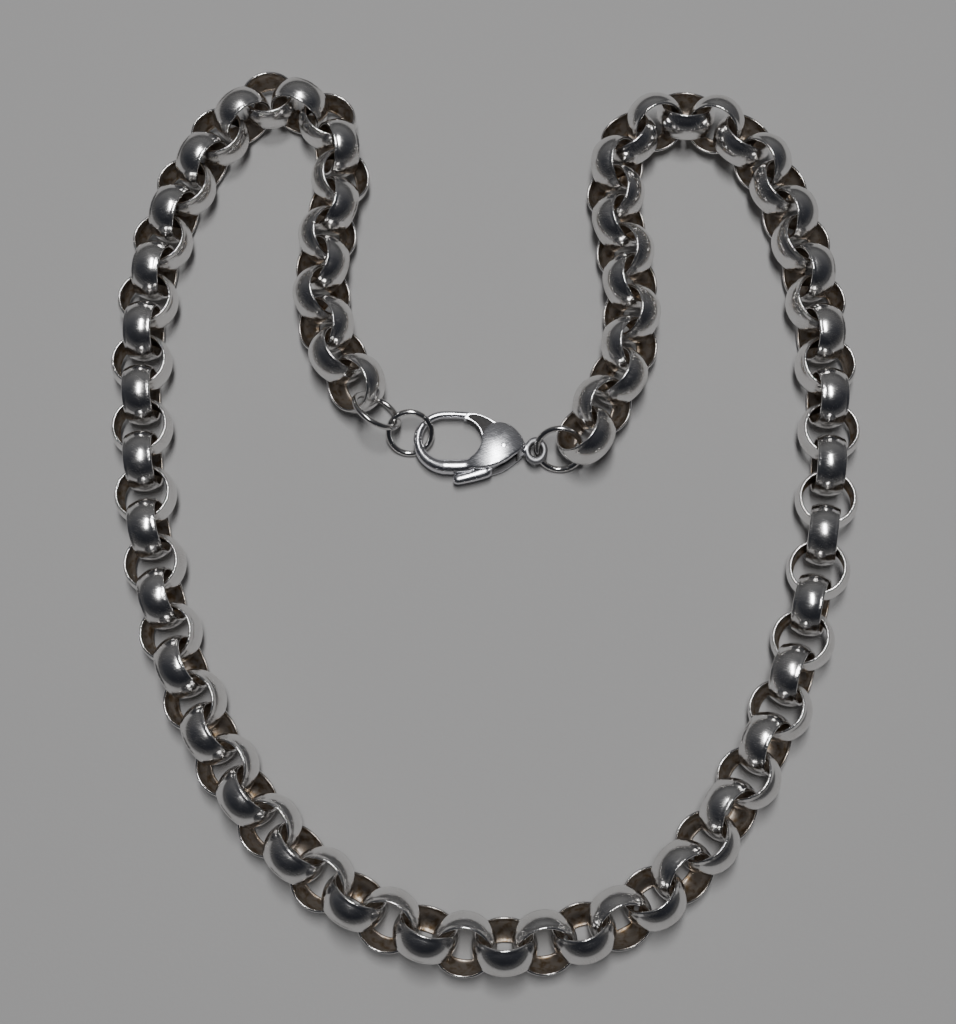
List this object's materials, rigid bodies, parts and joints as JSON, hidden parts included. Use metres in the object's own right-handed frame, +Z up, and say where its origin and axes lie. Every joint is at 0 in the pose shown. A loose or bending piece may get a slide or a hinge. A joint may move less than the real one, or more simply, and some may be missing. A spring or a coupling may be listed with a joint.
{
  "type": "rolo chain necklace",
  "caption": "Necklace of round domed hollow metal links, each turned across the next, closed by a lobster clasp and jump rings and lying in a loop.",
  "frame": {"origin": "centre of the bounding box, on the surface the necklace lies on", "axes": "+X from the side of the hook to the side of the eye, +Y from the front of the loop to its two back lobes, +Z up"},
  "size_m": [0.1218, 0.1496, 0.01],
  "materials": {
    "silver": "polished silver, lightly scratched",
    "clasp_silver": "satin silver with polished edges"
  },
  "bodies": {
    "necklace": {"chain": "silver", "chain_ring": "silver", "catch_ring": "silver", "clasp_ring": "silver", "clasp_body": "clasp_silver", "clasp_rivet": "clasp_silver"},
    "lever": {"clasp_lever": "clasp_silver"}
  },
  "joints": [
    {"name": "lever_pivot", "type": "hinge", "parent": "necklace", "child": "lever", "pos_m": [0.00327, 0.00828, 0.0021], "axis": [0, 0, 1], "range_deg": [0, 25], "stiffness_Nm_per_rad": 0.015, "springref_deg": -20.05}
  ]
}
